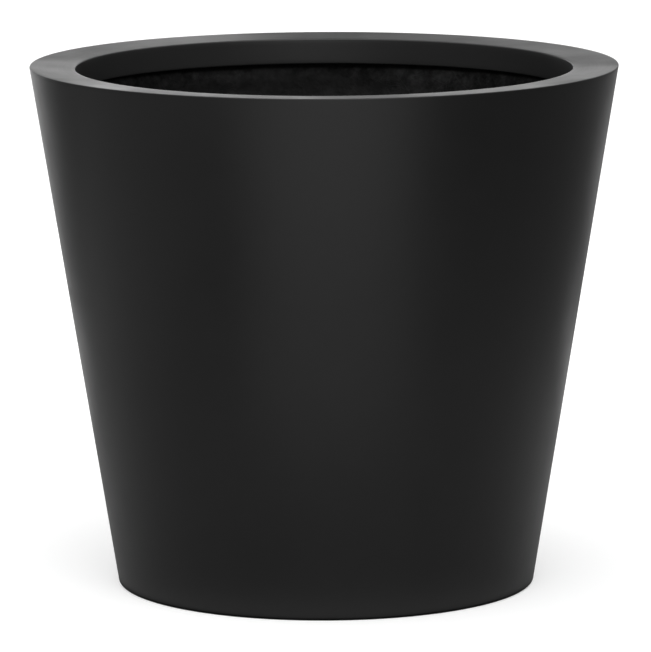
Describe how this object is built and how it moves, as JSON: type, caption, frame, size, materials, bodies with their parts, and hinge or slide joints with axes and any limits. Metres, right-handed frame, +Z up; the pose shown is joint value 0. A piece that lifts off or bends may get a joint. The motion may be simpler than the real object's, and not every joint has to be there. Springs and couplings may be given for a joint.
{
  "type": "floor planter",
  "caption": "Round tapered floor planter with a smooth matt outside, a flat inward-falling rim with a return lip, a rough fibre-lined inside and a plugged drain hole.",
  "frame": {"origin": "centre of the standing ring, on the floor", "axes": "+Z up along the pot's own axis; -Y faces the picture's camera"},
  "size_m": [0.4997, 0.4996, 0.4449],
  "materials": {
    "black_facing": "satin",
    "black_rim": "satin",
    "fibre_backing": "matte",
    "plug_rubber": "matte"
  },
  "bodies": {
    "pot": {"outer_shell": "black_facing", "inner_laminate": "fibre_backing", "rim_collar": "black_rim"},
    "plug": {"drain_plug": "plug_rubber"}
  },
  "joints": [
    {"name": "plug_lift", "type": "slide", "parent": "pot", "child": "plug", "axis": [0, 0, 1], "range_m": [0, 0.455]}
  ]
}
